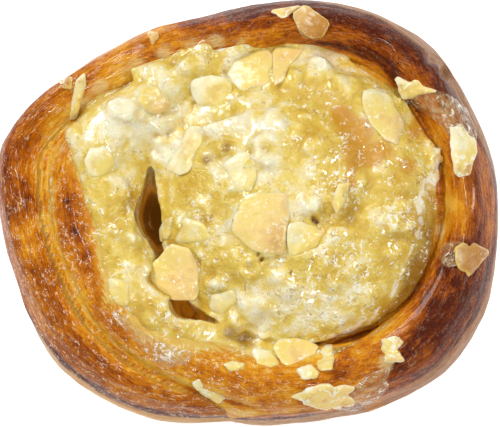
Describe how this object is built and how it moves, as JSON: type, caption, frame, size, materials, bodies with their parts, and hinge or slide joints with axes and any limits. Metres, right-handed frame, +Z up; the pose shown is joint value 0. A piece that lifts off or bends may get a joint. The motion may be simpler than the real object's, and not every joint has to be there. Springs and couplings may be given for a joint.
{
  "type": "almond caramel bun",
  "caption": "Coiled yeast bun with a browned crust, its middle covered by caramel cream and flaked almonds. Food item that rests on its flat underside.",
  "frame": {"origin": "under the middle of the bun, on the surface that it stands on", "axes": "+Z up, +X along the bun's longest side, towards the side that its core lies nearer to"},
  "size_m": [0.116, 0.0978, 0.0408],
  "materials": {
    "baked_dough": "browned, lightly glazed crust",
    "caramel_cream": "wet, glossy cream",
    "flaked_almond": "smooth pale slices",
    "caramel_glaze": "clear, sticky film"
  },
  "bodies": {
    "root": {"dough_coil": "baked_dough", "almond_cream": "caramel_cream"}
  },
  "joints": []
}
